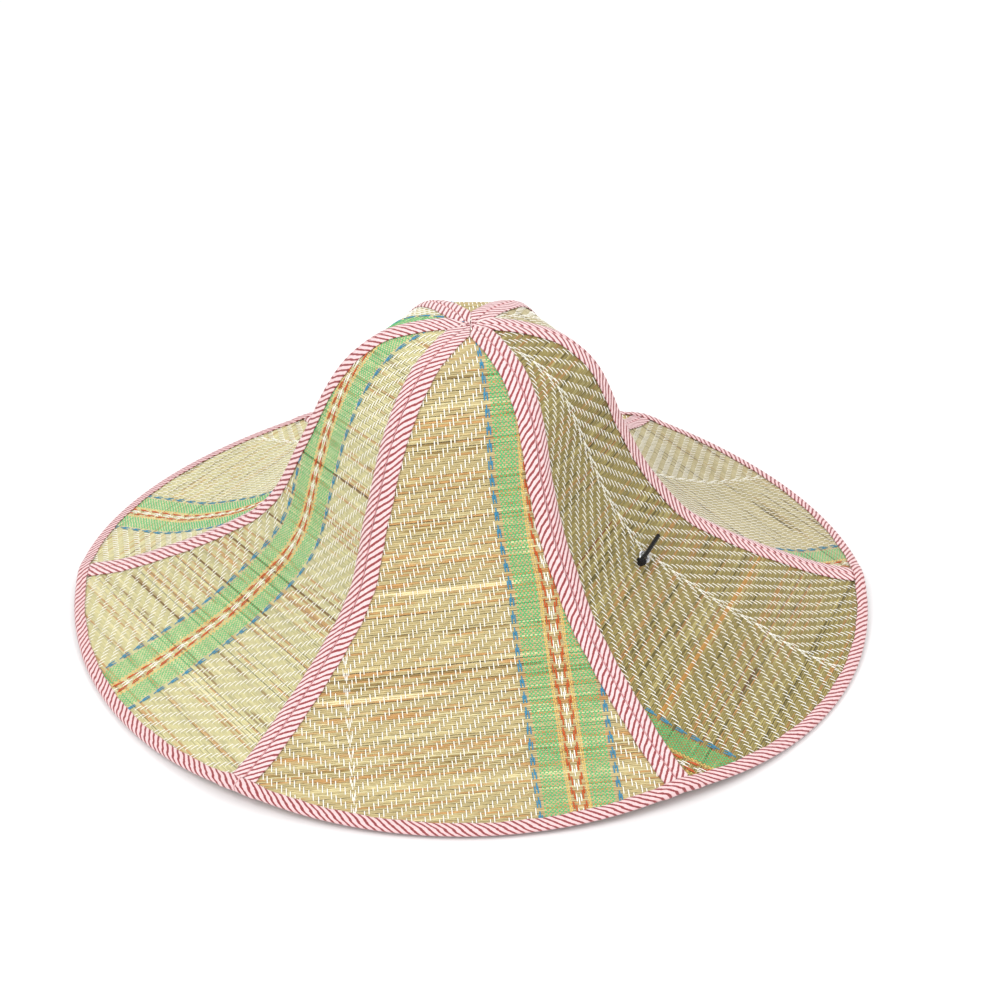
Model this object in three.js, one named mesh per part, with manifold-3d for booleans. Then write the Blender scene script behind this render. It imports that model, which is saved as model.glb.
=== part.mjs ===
// A six-gore folding sun hat of woven reed mat: steep round crown, flared brim.
// Millimetres, +Z up. The hat stands on its rim; azimuth 0 is the front (-Y), positive towards +X.
import * as THREE from "three";
import { mergeVertices } from "three/addons/utils/BufferGeometryUtils.js";
import Module from "manifold-3d";

const wasm = await Module();
wasm.setup();

// Driving dimensions
const RIM_RADIUS = 238;
const MAT_THICKNESS = 1.6;
const TAPE_THICKNESS = 0.55;
const SIDE_TAPE_WIDTH = 8;
const RIM_TAPE_WIDTH = 6.5;
const GAP = 0.3;
const EYELET_FLANGE_RADIUS = 4.1;
const EYELET_BARREL_RADIUS = 2.4;
const CORD_RADIUS = 1.3;
const THREAD_RADIUS = 0.35;

// Middle surface along a seam: distance from the axis, height.
const SEAM_PROFILE = [
  [0, 173.4], [24, 172.4], [47.4, 167], [59, 160.2], [70.7, 148.5], [82.6, 129.7], [94.5, 105.8],
  [106.6, 82.2], [118.7, 63.5], [130.9, 50.7], [143.2, 42.6], [167.3, 30], [191.4, 20.1],
  [215.5, 11.6], [240, 6.8], [280, -0.3],
];

// Gores in order round the hat: azimuths of their two seams, the rim's radius at each of them, and
// how far the middle of the rim lies inside an even run from one to the other.
const GORES = [
  { name: "front", from: -30.5, to: 28.5, rimFrom: 238.8, rimTo: 235.8, bow: 1.4 },
  { name: "front_right", from: 28.5, to: 89.5, rimFrom: 235.8, rimTo: 238.5, bow: -1 },
  { name: "back_right", from: 89.5, to: 150, rimFrom: 238.5, rimTo: 236.8, bow: 0.5 },
  { name: "back", from: 150, to: 209.5, rimFrom: 236.8, rimTo: 237.8, bow: 0 },
  { name: "back_left", from: 209.5, to: 269, rimFrom: 237.8, rimTo: 241.5, bow: -4.8 },
  { name: "front_left", from: 269, to: 329.5, rimFrom: 241.5, rimTo: 238.8, bow: 3 },
];

const MAT_HALF = MAT_THICKNESS / 2;
const TAPE_INNER = MAT_HALF + GAP;
const TAPE_OUTER = TAPE_INNER + TAPE_THICKNESS;
const RIM_NOSE = 2.2;
const MAT_EDGE = RIM_NOSE + 0.6;
const rad = THREE.MathUtils.degToRad;

const profileR = SEAM_PROFILE.map((p) => p[0]);
const profileZ = SEAM_PROFILE.map((p) => p[1]);
const profileSlope = SEAM_PROFILE.map((p, i) => {
  const a = Math.max(i - 1, 0);
  const b = Math.min(i + 1, SEAM_PROFILE.length - 1);
  return i === 0 ? 0 : (profileZ[b] - profileZ[a]) / (profileR[b] - profileR[a]);
});

// Cubic through the profile points: the height at seam radius r.
function seamZ(r) {
  let i = profileR.findIndex((v) => v > r) - 1;
  if (i < 0) i = profileR.length - 2;
  const h = profileR[i + 1] - profileR[i];
  const t = (r - profileR[i]) / h;
  const t2 = t * t;
  const t3 = t2 * t;
  return (2 * t3 - 3 * t2 + 1) * profileZ[i] + (t3 - 2 * t2 + t) * h * profileSlope[i]
    + (3 * t2 - 2 * t3) * profileZ[i + 1] + (t3 - t2) * h * profileSlope[i + 1];
}

const seamSlope = (r) => (seamZ(r + 0.5) - seamZ(Math.max(r - 0.5, 0))) / (r < 0.5 ? r + 0.5 : 1);

// One gore: a flat sheet bent only along horizontal lines, so each level is a straight chord.
class Gore {
  constructor(spec) {
    this.name = spec.name;
    this.centre = rad((spec.from + spec.to) / 2);
    this.half = rad((spec.to - spec.from) / 2);
    this.from = rad(spec.from);
    this.to = rad(spec.to);
    this.rimFrom = spec.rimFrom;
    this.rimTo = spec.rimTo;
    this.bow = spec.bow;
    this.out = new THREE.Vector3(Math.sin(this.centre), -Math.cos(this.centre), 0);
    this.side = new THREE.Vector3(Math.cos(this.centre), Math.sin(this.centre), 0);
  }
  // Slope of the gore's centre line where the seams are at radius r.
  slope(r) {
    return seamSlope(r) / Math.cos(this.half);
  }
  // Point at seam radius r, distance u along the chord, and height n above the middle surface.
  at(r, u, n) {
    const m = this.slope(r);
    const k = 1 / Math.hypot(m, 1);
    const p = this.out.clone().multiplyScalar(r * Math.cos(this.half) - m * k * n);
    p.addScaledVector(this.side, u);
    p.z = seamZ(r) + k * n;
    return p;
  }
  // Radius of the finished rim at azimuth phi.
  rimRadius(phi) {
    const t = (phi - this.from) / (this.to - this.from);
    return THREE.MathUtils.lerp(this.rimFrom, this.rimTo, t) - this.bow * Math.sin(Math.PI * t);
  }
  // Height and radial slope of the middle surface at azimuth phi and radius r.
  level(phi, r) {
    const q = r * Math.cos(phi - this.centre) / Math.cos(this.half);
    return { z: seamZ(q), slope: this.slope(q) * Math.cos(phi - this.centre) };
  }
  // Room along the chord from the gore's centre to the seam plane, less half the seam gap.
  reach(r) {
    return r * Math.sin(this.half) - GAP / 2 / Math.cos(this.half);
  }
  // Narrowing of the side tapes where the gore runs to its point.
  taper(r) {
    return Math.min(1, (this.reach(r) - GAP / 2) / SIDE_TAPE_WIDTH);
  }
  // Centre of the side tape's rounded fold.
  fold(r) {
    const k = this.taper(r);
    const lean = Math.sin(Math.atan(-this.slope(r))) * Math.tan(this.half);
    return this.reach(r) - TAPE_OUTER * k * Math.hypot(1, lean);
  }
}

// Closed body swept through a list of sections with the same number of corners.
function loft(sections, closed, capTriangles) {
  const n = sections[0].length;
  const position = [];
  const index = [];
  for (const s of sections) for (const p of s) position.push(p.x, p.y, p.z);
  const last = closed ? sections.length : sections.length - 1;
  for (let i = 0; i < last; i++) {
    const a = i * n;
    const b = ((i + 1) % sections.length) * n;
    for (let j = 0; j < n; j++) {
      const k = (j + 1) % n;
      index.push(a + j, a + k, b + k, a + j, b + k, b + j);
    }
  }
  if (!closed) {
    const end = (sections.length - 1) * n;
    for (const [p, q, r] of capTriangles) {
      index.push(r, q, p);
      index.push(end + p, end + q, end + r);
    }
  }
  const g = new THREE.BufferGeometry();
  g.setAttribute("position", new THREE.Float32BufferAttribute(position, 3));
  g.setIndex(index);
  return outward(g);
}

// Turn the faces round if they enclose a negative volume.
function outward(g) {
  const p = g.getAttribute("position");
  const ix = g.getIndex();
  const a = new THREE.Vector3();
  const b = new THREE.Vector3();
  const c = new THREE.Vector3();
  let volume = 0;
  for (let i = 0; i < ix.count; i += 3) {
    a.fromBufferAttribute(p, ix.getX(i));
    b.fromBufferAttribute(p, ix.getX(i + 1));
    c.fromBufferAttribute(p, ix.getX(i + 2));
    volume += a.dot(b.cross(c));
  }
  if (volume < 0) {
    for (let i = 0; i < ix.count; i += 3) {
      const t = ix.getX(i);
      ix.setX(i, ix.getX(i + 1));
      ix.setX(i + 1, t);
    }
  }
  return g;
}

function toSolid(geometry) {
  const g = geometry.clone();
  g.deleteAttribute("normal");
  g.deleteAttribute("uv");
  const m = mergeVertices(g, 1e-4);
  const vertProperties = new Float32Array(m.getAttribute("position").array);
  const triVerts = new Uint32Array(m.getIndex().array);
  return new wasm.Manifold(new wasm.Mesh({ numProp: 3, vertProperties, triVerts }));
}

function fromSolid(solid) {
  const m = solid.getMesh();
  const g = new THREE.BufferGeometry();
  g.setAttribute("position", new THREE.Float32BufferAttribute(m.vertProperties, 3));
  g.setIndex(Array.from(m.triVerts));
  return g;
}

const group = new THREE.Group();

// The hat isn't quite even. Its top is drawn up, more at the back than at the front, and spread
// sideways, and the steep wall below leans a little to the left. Pairs are heights between which
// each of these sets in or dies away.
const RISE_HEIGHTS = [125, 168];
const CROWN_RISE = 2;
const CROWN_TILT = 0.03;
const SPREAD_HEIGHTS = [110, 150];
const CROWN_SPREAD = 0.03;
const LEAN_HEIGHTS = [60, 95];
const LEAN_END_HEIGHTS = [115, 165];
const WALL_LEAN = 2.6;

function shapeCrown(geometry) {
  const step = THREE.MathUtils.smoothstep;
  const p = geometry.getAttribute("position");
  for (let i = 0; i < p.count; i++) {
    const y = p.getY(i);
    const z = p.getZ(i);
    const rise = step(z, ...RISE_HEIGHTS) * (CROWN_RISE + CROWN_TILT * y);
    const spread = 1 + CROWN_SPREAD * step(z, ...SPREAD_HEIGHTS);
    const lean = WALL_LEAN * step(z, ...LEAN_HEIGHTS) * (1 - step(z, ...LEAN_END_HEIGHTS));
    p.setXYZ(i, p.getX(i) * spread - lean, y, z + rise);
  }
}

function add(name, geometry, color, roughness, metalness = 0) {
  shapeCrown(geometry);
  const mesh = new THREE.Mesh(
    geometry,
    new THREE.MeshStandardMaterial({ color, roughness, metalness }),
  );
  mesh.name = name;
  group.add(mesh);
}

const gores = GORES.map((g) => new Gore(g));

// Seam radii where the mats, side tapes and threads bend, shared so that they stay parallel.
const LEVELS = [17, 27, 38, 49, 58, 66, 74, 82, 90, 98, 106, 115, 124, 138, 160, 185, 208, 225];

// Eyelets: one in the front-right gore and one opposite it, just above the brim.
const EYELETS = [
  { name: "right", gore: gores[1], r: 129.9, u: 6.4 },
  { name: "left", gore: gores[4], r: 129.9, u: 6.4 },
];

// Frame with its origin on the middle of the mat's flat strip and +Z along the outward normal.
function eyeletFrame(e) {
  const i = LEVELS.findIndex((r) => r > e.r);
  const upper = e.gore.at(LEVELS[i - 1], e.u, 0);
  const lower = e.gore.at(LEVELS[i], e.u, 0);
  const x = e.gore.side.clone();
  const z = lower.clone().sub(upper).normalize().cross(x);
  const y = z.clone().cross(x);
  const t = (e.r - LEVELS[i - 1]) / (LEVELS[i] - LEVELS[i - 1]);
  return new THREE.Matrix4().makeBasis(x, y, z).setPosition(upper.lerp(lower, t));
}

// Distance along the chord from the gore's middle to the mat's edge on one side, -1 or 1.
function matHalfWidth(gore, r, side) {
  let u = gore.fold(r);
  const c = r * Math.cos(gore.half);
  for (let i = 0; i < 6; i++) {
    const edge = gore.rimRadius(gore.centre + side * Math.atan2(u, c)) - MAT_EDGE;
    u = Math.min(gore.fold(r), Math.sqrt(Math.max(edge * edge - c * c, 0)));
  }
  return u;
}

// The bottom edge is cut to the rim circle and lies inside the rim tape.
function matGeometry(gore) {
  const levels = [...LEVELS];
  const bottom = (gore.rimRadius(gore.centre) - MAT_EDGE - 0.4) / Math.cos(gore.half);
  const corner = Math.min(gore.rimFrom, gore.rimTo) - MAT_EDGE - 1;
  for (let i = 0; i <= 7; i++) {
    const t = Math.sin(i / 7 * Math.PI / 2);
    levels.push(corner + (bottom - corner) * t);
  }
  const sections = levels.map((r) => {
    const a = -matHalfWidth(gore, r, -1);
    const b = matHalfWidth(gore, r, 1);
    return [
      gore.at(r, a, MAT_HALF), gore.at(r, b, MAT_HALF),
      gore.at(r, b, -MAT_HALF), gore.at(r, a, -MAT_HALF),
    ];
  });
  return loft(sections, false, [[0, 1, 2], [0, 2, 3]]);
}

const matColours = {
  front: 0xc9ab66, front_right: 0xa8935a, back_right: 0xb0a286, back: 0xb9a878,
  back_left: 0xc4bb96, front_left: 0xc8bd83,
};

for (const gore of gores) {
  let g = matGeometry(gore);
  for (const e of EYELETS) {
    if (e.gore !== gore) continue;
    const hole = new THREE.CylinderGeometry(EYELET_BARREL_RADIUS + GAP, EYELET_BARREL_RADIUS + GAP, 8, 16);
    hole.rotateX(Math.PI / 2);
    hole.applyMatrix4(eyeletFrame(e));
    g = fromSolid(toSolid(g).subtract(toSolid(hole)));
  }
  add(`gore_${gore.name}`, g, matColours[gore.name], 0.7);
}

// Side tapes: each folded over one side edge of a gore. The section is a U whose open side
// faces the middle of the gore.
const TAPE_START_LEVELS = [3, 7, 11.5];

// The U in (distance back from the fold's centre, height): outer face, fold, inner face.
function tapeOutline(inner, outer, nose, width) {
  const w = width - nose;
  const ni = nose - TAPE_THICKNESS;
  return [
    [-w, outer], [0, outer], [nose * 0.87, outer * 0.5], [nose * 0.87, -outer * 0.5], [0, -outer],
    [-w, -outer], [-w, -inner], [0, -inner], [ni * 0.8, 0], [0, inner], [-w, inner],
  ];
}

function outlineCaps(outline) {
  const points = outline.map((p) => new THREE.Vector2(p[0], p[1]));
  const turn = Math.sign(THREE.ShapeUtils.area(points));
  return THREE.ShapeUtils.triangulateShape(points, []).map(([a, b, c]) => {
    const same = Math.sign(THREE.ShapeUtils.area([points[a], points[b], points[c]])) === turn;
    return same ? [a, b, c] : [c, b, a];
  });
}

function sideTape(gore, sign) {
  const outline = tapeOutline(TAPE_INNER, TAPE_OUTER, TAPE_OUTER, SIDE_TAPE_WIDTH);
  const end = (sign < 0 ? gore.rimFrom : gore.rimTo) - MAT_EDGE - 0.4;
  const sections = [...TAPE_START_LEVELS, ...LEVELS, end].map((r) => {
    const k = gore.taper(r);
    const fold = gore.fold(r);
    return outline.map(([a, n]) => gore.at(r, sign * (fold + a * k), n));
  });
  return loft(sections, false, outlineCaps(outline));
}

const TAPE_COLOUR = 0xe8b9bd;
for (const gore of gores) {
  add(`side_tape_${gore.name}_a`, sideTape(gore, -1), TAPE_COLOUR, 0.85);
  add(`side_tape_${gore.name}_b`, sideTape(gore, 1), TAPE_COLOUR, 0.85);
}

// Rim tape: one closed ring folded over the rim, thicker where it covers the ends of the side tapes.
const SEAM_LAP = SIDE_TAPE_WIDTH + 1.5;
const LAP_FADE = 5;
const RIM_STEPS = 9;

function rimSections() {
  const sections = [];
  for (const gore of gores) {
    const lap = SEAM_LAP / RIM_RADIUS;
    const fade = (SEAM_LAP + LAP_FADE) / RIM_RADIUS;
    const turns = [gore.from, gore.from + lap, gore.from + fade];
    for (let i = 1; i < RIM_STEPS; i++) {
      turns.push(gore.from + fade + (gore.to - gore.from - 2 * fade) * i / RIM_STEPS);
    }
    turns.push(gore.to - fade, gore.to - lap);
    for (const phi of turns) {
      const off = Math.min(phi - gore.from, gore.to - phi) * RIM_RADIUS;
      const swell = THREE.MathUtils.clamp((SEAM_LAP + LAP_FADE - off) / LAP_FADE, 0, 1);
      const inner = TAPE_INNER + swell * (TAPE_OUTER - MAT_HALF);
      const outline = tapeOutline(inner, inner + TAPE_THICKNESS, RIM_NOSE, RIM_TAPE_WIDTH);
      const rim = gore.rimRadius(phi) - RIM_NOSE;
      sections.push(outline.map(([a, n]) => {
        const r = rim + a;
        const { z, slope } = gore.level(phi, r);
        return new THREE.Vector3(
          r * Math.sin(phi), -r * Math.cos(phi), z + n * Math.hypot(1, slope),
        );
      }));
    }
  }
  return sections;
}

add("rim_tape", loft(rimSections(), true), TAPE_COLOUR, 0.85);

// Seam threads: one strand along each seam, lying in the groove between the two folds.
function seamThread(gore) {
  const phi = gore.to;
  const out = new THREE.Vector3(Math.sin(phi), -Math.cos(phi), 0);
  const side = new THREE.Vector3(Math.cos(phi), Math.sin(phi), 0);
  const sections = [...LEVELS, gore.rimTo - RIM_TAPE_WIDTH - 1.5].map((r) => {
    const beta = Math.atan(-seamSlope(r));
    const back = (r * Math.sin(gore.half) - gore.fold(r)) * Math.sin(gore.half) * Math.sin(beta);
    const lift = 1.75 - back;
    const normal = out.clone().multiplyScalar(Math.sin(beta));
    normal.z = Math.cos(beta);
    const centre = out.clone().multiplyScalar(r);
    centre.z = seamZ(r);
    centre.addScaledVector(normal, lift);
    return [0, 1, 2, 3].map((q) => {
      const turn = q * Math.PI / 2;
      return centre.clone()
        .addScaledVector(normal, THREAD_RADIUS * Math.cos(turn))
        .addScaledVector(side, THREAD_RADIUS * Math.sin(turn));
    });
  });
  return loft(sections, false, [[0, 1, 2], [0, 2, 3]]);
}

const seamNames = ["front_2", "right", "back_2", "back_1", "left", "front_1"];
gores.forEach((gore, i) => {
  add(`seam_thread_${seamNames[i]}`, seamThread(gore), 0xf2e4e0, 0.8);
});

// Eyelet: flange outside, barrel through the mat, rolled lip inside. Points are radius, height.
const EYELET_PROFILE = [
  [1.9, 1.3], [2.3, 1.5], [3.3, 1.5], [3.9, 1.35], [EYELET_FLANGE_RADIUS, 1.1],
  [EYELET_BARREL_RADIUS, 1.1], [EYELET_BARREL_RADIUS, -1.9], [3.4, -1.9], [3.3, -2.3],
  [2.2, -2.3], [1.9, -2],
];
const WASHER_PROFILE = [
  [EYELET_BARREL_RADIUS + GAP, -1.1], [EYELET_FLANGE_RADIUS, -1.1],
  [EYELET_FLANGE_RADIUS, -1.5], [EYELET_BARREL_RADIUS + GAP, -1.5],
];

function turned(profile, segments) {
  const points = [...profile, profile[0]].map((p) => new THREE.Vector2(p[0], p[1]));
  const g = new THREE.LatheGeometry(points, segments);
  g.rotateX(Math.PI / 2);
  g.deleteAttribute("normal");
  g.deleteAttribute("uv");
  return outward(mergeVertices(g, 1e-4));
}

// Knot: a ball beside the eyelet's mouth. Its cut tail runs back across the eyelet.
const KNOT_RADIUS = 3;
const KNOT_CENTRE = new THREE.Vector3(-7.5, 0, 3.95);
const TAIL_LENGTH = 25;
const TAIL_LIFT = rad(3);
const TAIL_TURN = rad(9);

function knotGeometry() {
  const ball = new THREE.SphereGeometry(KNOT_RADIUS, 12, 8);
  ball.scale(1.3, 1, 0.83);
  const tail = new THREE.CylinderGeometry(CORD_RADIUS, CORD_RADIUS, TAIL_LENGTH, 8);
  tail.rotateZ(-Math.PI / 2);
  tail.translate(TAIL_LENGTH / 2, 0, 0);
  tail.rotateY(-TAIL_LIFT);
  tail.rotateZ(TAIL_TURN);
  const knot = fromSolid(toSolid(ball).add(toSolid(tail)));
  return knot.translate(KNOT_CENTRE.x, KNOT_CENTRE.y, KNOT_CENTRE.z);
}

for (const e of EYELETS) {
  const frame = eyeletFrame(e);
  add(`eyelet_${e.name}`, turned(EYELET_PROFILE, 16).applyMatrix4(frame), 0xc9cbce, 0.25, 1);
  add(`eyelet_washer_${e.name}`, turned(WASHER_PROFILE, 16).applyMatrix4(frame), 0xc9cbce, 0.3, 1);
  add(`cord_knot_${e.name}`, knotGeometry().applyMatrix4(frame), 0x141416, 0.45);
}

// Chin cord: from inside one eyelet down to the surface the hat stands on, in a loose S across
// it, and up to the other eyelet.
const hatBox = new THREE.Box3().setFromObject(group);
const low = hatBox.min.z + CORD_RADIUS + 0.6;
const [start, finish] = EYELETS.map(eyeletFrame);
const inEyelet = (frame, z) => new THREE.Vector3(0, 0, z).applyMatrix4(frame);
const lowered = (x, y, above) => new THREE.Vector3(x, y, low + above);
const laid = (x, y) => lowered(x, y, 0);
const cordPath = new THREE.CatmullRomCurve3([
  inEyelet(start, 2.4), inEyelet(start, -4), inEyelet(start, -10),
  lowered(87, -60, 9), lowered(84, -55, 1.5), laid(79, -46), laid(72, -24), laid(84, 8),
  laid(58, 34), laid(8, 8), laid(-20, -26), laid(-62, -26), laid(-78, 10), laid(-78, 40),
  lowered(-84, 52, 1.5), lowered(-87, 59, 9),
  inEyelet(finish, -10), inEyelet(finish, -4), inEyelet(finish, 2.4),
], false, "centripetal");
const cordSection = new THREE.Shape();
for (let i = 0; i < 8; i++) {
  const turn = i * Math.PI / 4;
  const x = CORD_RADIUS * Math.cos(turn);
  const y = CORD_RADIUS * Math.sin(turn);
  if (i === 0) cordSection.moveTo(x, y);
  else cordSection.lineTo(x, y);
}
const cord = new THREE.ExtrudeGeometry(cordSection, { steps: 76, extrudePath: cordPath });
cord.deleteAttribute("normal");
cord.deleteAttribute("uv");
add("chin_cord", outward(mergeVertices(cord, 1e-4)), 0x141416, 0.5);

// Stand the rim on z = 0 and centre the hat's box on the axis.
const middle = hatBox.getCenter(new THREE.Vector3());
group.position.set(-middle.x, -middle.y, -hatBox.min.z);

export default group;
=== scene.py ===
"""Looks of a six-gore folding sun hat of woven reed mat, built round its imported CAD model.

Shapes are worked out in millimetres, +Z up, as the CAD draws them, and turned into metres when a
mesh is made. Every reed and every thread of the mats is a closed tube of its own.
"""

import math

import bpy
import numpy as np
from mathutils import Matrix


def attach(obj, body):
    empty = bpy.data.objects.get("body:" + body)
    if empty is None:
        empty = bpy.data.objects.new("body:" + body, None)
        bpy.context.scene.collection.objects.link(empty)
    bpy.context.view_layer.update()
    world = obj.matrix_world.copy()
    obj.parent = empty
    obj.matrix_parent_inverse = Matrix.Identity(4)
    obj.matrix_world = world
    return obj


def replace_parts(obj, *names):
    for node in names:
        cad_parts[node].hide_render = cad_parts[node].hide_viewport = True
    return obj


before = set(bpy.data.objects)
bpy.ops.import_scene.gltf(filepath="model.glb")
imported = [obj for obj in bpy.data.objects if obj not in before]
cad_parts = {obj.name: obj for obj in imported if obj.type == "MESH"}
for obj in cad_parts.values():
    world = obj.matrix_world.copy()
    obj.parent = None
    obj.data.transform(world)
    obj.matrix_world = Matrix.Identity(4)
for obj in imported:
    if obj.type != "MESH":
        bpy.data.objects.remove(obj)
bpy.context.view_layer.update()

MM = 0.001
UP = np.array([0.0, 0.0, 1.0])

# The CAD's driving dimensions
RIM_RADIUS = 238
SIDE_TAPE_WIDTH = 8
RIM_TAPE_WIDTH = 6.5
TAPE_THICKNESS = 0.55
TAPE_INNER = 1.1
TAPE_OUTER = TAPE_INNER + TAPE_THICKNESS
RIM_NOSE = 2.2
GAP = 0.3
CORD_RADIUS = 1.3
EYELET_BARREL_RADIUS = 2.4

# The CAD stands the hat on z = 0 and centres its box, which moves the drawing by this much.
DRAWING_SHIFT = np.array([1.5238, -0.7253, 1.7725])

# The hat isn't quite even: its top is drawn up and spread sideways, and the steep wall leans to
# the left. Pairs are heights between which each of these sets in or dies away.
RISE_HEIGHTS = (125, 168)
CROWN_RISE = 2
CROWN_TILT = 0.03
SPREAD_HEIGHTS = (110, 150)
CROWN_SPREAD = 0.03
LEAN_HEIGHTS = (60, 95)
LEAN_END_HEIGHTS = (115, 165)
WALL_LEAN = 2.6

# Middle surface along a seam: distance from the axis, height.
SEAM_PROFILE = [
    (0, 173.4), (24, 172.4), (47.4, 167), (59, 160.2), (70.7, 148.5), (82.6, 129.7), (94.5, 105.8),
    (106.6, 82.2), (118.7, 63.5), (130.9, 50.7), (143.2, 42.6), (167.3, 30), (191.4, 20.1),
    (215.5, 11.6), (240, 6.8), (280, -0.3),
]
PROFILE_END = 292
PROFILE_R, PROFILE_Z = (np.array(column, float) for column in zip(*SEAM_PROFILE))
PROFILE_SLOPE = np.concatenate([
    [0],
    (PROFILE_Z[2:] - PROFILE_Z[:-2]) / (PROFILE_R[2:] - PROFILE_R[:-2]),
    [(PROFILE_Z[-1] - PROFILE_Z[-2]) / (PROFILE_R[-1] - PROFILE_R[-2])],
])


def seam_height(r):
    """Height of the middle surface where the seam is r from the axis: a cubic through the profile."""
    r = np.asarray(r, float)
    i = np.clip(np.searchsorted(PROFILE_R, r, side="right") - 1, 0, len(PROFILE_R) - 2)
    h = PROFILE_R[i + 1] - PROFILE_R[i]
    t = (r - PROFILE_R[i]) / h
    rise = (t**3 - 2 * t**2 + t) * h * PROFILE_SLOPE[i]
    fall = (t**3 - t**2) * h * PROFILE_SLOPE[i + 1]
    low = 2 * t**3 - 3 * t**2 + 1
    return low * PROFILE_Z[i] + (1 - low) * PROFILE_Z[i + 1] + rise + fall


def seam_slope(r):
    """Rise along a seam over the millimetre about r, or over the first one."""
    inner = np.maximum(np.asarray(r, float) - 0.5, 0)
    return seam_height(inner + 1) - seam_height(inner)


def running_total(steps):
    return np.concatenate([[0], np.cumsum(steps)])


def seam_length(r):
    """Distance along a seam from the first of the radii to each of them."""
    return running_total(np.hypot(np.diff(r), np.diff(seam_height(r))))


def out_and_side(phi):
    """Unit vectors away from the axis and round it at an azimuth."""
    return np.array([math.sin(phi), -math.cos(phi), 0]), np.array([math.cos(phi), math.sin(phi), 0])


class Gore:
    """One mat: a flat sheet bent only along level lines. v runs down its middle from the apex,
    u along the level lines towards the next gore, n outwards from the middle surface."""

    def __init__(self, name, start, end, rim_start, rim_end, bow):
        self.name = name
        self.start, self.end = math.radians(start), math.radians(end)
        self.rim_start, self.rim_end, self.bow = rim_start, rim_end, bow
        self.centre = (self.start + self.end) / 2
        self.half = (self.end - self.start) / 2
        self.out, self.side = out_and_side(self.centre)
        self.radius = np.arange(0, PROFILE_END, 0.5)
        steps = np.hypot(np.diff(self.radius) * math.cos(self.half), np.diff(seam_height(self.radius)))
        self.arc = running_total(steps)

    def seam_radius(self, v):
        return np.interp(v, self.arc, self.radius)

    def slope(self, r):
        return seam_slope(r) / math.cos(self.half)

    def directions(self, r):
        """Unit vectors down the gore and outwards from it."""
        m = self.slope(r)[..., None]
        k = 1 / np.hypot(m, 1)
        return k * (self.out + m * UP), k * (UP - m * self.out)

    def at(self, r, u, n):
        r, u, n = np.broadcast_arrays(np.asarray(r, float), u, n)
        flat = (r * math.cos(self.half))[..., None] * self.out + u[..., None] * self.side
        outwards = self.directions(r)[1]
        return flat + seam_height(r)[..., None] * UP + n[..., None] * outwards + DRAWING_SHIFT

    def rim_radius(self, phi):
        t = (phi - self.start) / (self.end - self.start)
        return self.rim_start + (self.rim_end - self.rim_start) * t - self.bow * np.sin(math.pi * t)

    def level(self, phi, r):
        """Height and radial slope of the middle surface at azimuth phi and radius r."""
        q = r * np.cos(phi - self.centre) / math.cos(self.half)
        return seam_height(q), self.slope(q) * np.cos(phi - self.centre)

    def reach(self, r):
        return r * math.sin(self.half) - GAP / 2 / math.cos(self.half)

    def taper(self, r):
        return np.minimum(1, (self.reach(r) - GAP / 2) / SIDE_TAPE_WIDTH)

    def fold(self, r):
        """Distance from the gore's middle to the centre of its side tape's rounded fold."""
        lean = np.sin(np.arctan(-self.slope(r))) * math.tan(self.half)
        return self.reach(r) - TAPE_OUTER * self.taper(r) * np.hypot(1, lean)


# Azimuths of the two seams, the rim's radius at each, and how far the middle of the rim is cut back
GORES = [
    Gore("front", -30.5, 28.5, 238.8, 235.8, 1.4),
    Gore("front_right", 28.5, 89.5, 235.8, 238.5, -1),
    Gore("back_right", 89.5, 150, 238.5, 236.8, 0.5),
    Gore("back", 150, 209.5, 236.8, 237.8, 0),
    Gore("back_left", 209.5, 269, 237.8, 241.5, -4.8),
    Gore("front_left", 269, 329.5, 241.5, 238.8, 3),
]

# The mats' flat strip that holds the eyelets lies between these two seam radii.
EYELET_STRIP = (124, 138)
EYELET_RADIUS_ON_SEAM = 129.9
EYELET_ACROSS = 6.4
EYELETS = {"right": GORES[1], "left": GORES[4]}


def eyelet_frame(gore):
    """Origin on the mat's middle surface, and the axes side, up-slope and outward, as columns."""
    upper, lower = (gore.at(r, EYELET_ACROSS, 0) for r in EYELET_STRIP)
    outward = np.cross((lower - upper) / np.linalg.norm(lower - upper), gore.side)
    share = (EYELET_RADIUS_ON_SEAM - EYELET_STRIP[0]) / (EYELET_STRIP[1] - EYELET_STRIP[0])
    origin = upper + (lower - upper) * share
    return origin, np.stack([gore.side, np.cross(outward, gore.side), outward], axis=1)


def in_eyelet(gore, points):
    """Points of an eyelet's own frame as points of the hat."""
    origin, axes = eyelet_frame(gore)
    return origin + np.asarray(points, float) @ axes.T


# -------------------- camera

LENS_MM = 70.58
SENSOR_MM = 36
CAMERA_PLACE = (0.01823, -1.00838, 0.65692)
CAMERA_LOOKS_DOWN = 30.56


def make_camera():
    """Looks down at the hat from in front, turned neither left nor right."""
    data = bpy.data.cameras.new("camera")
    data.lens = LENS_MM
    data.sensor_width = SENSOR_MM
    data.clip_end = 20
    data.dof.use_dof = False
    camera = bpy.data.objects.new("camera", data)
    camera.location = CAMERA_PLACE
    camera.rotation_euler = (math.radians(90 - CAMERA_LOOKS_DOWN), 0, 0)
    bpy.context.scene.collection.objects.link(camera)
    bpy.context.scene.camera = camera


make_camera()


# -------------------- meshes

def smooth_step(value, low, high):
    share = np.clip((value - low) / (high - low), 0, 1)
    return share**2 * (3 - 2 * share)


# What the bake texture coordinates leave free at the ends and at the sides of a row
END_MARGIN = 0.01
SIDE_MARGIN = 0.04


def within(share, margin):
    return margin + (1 - 2 * margin) * share


def wobble(random, distance, waves):
    """An uneven edge: waves of these sizes and lengths added up, each starting anywhere."""
    return sum(
        size * np.sin(distance / length * 2 * math.pi + random.uniform(0, 6.28))
        for size, length in waves
    )


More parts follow.
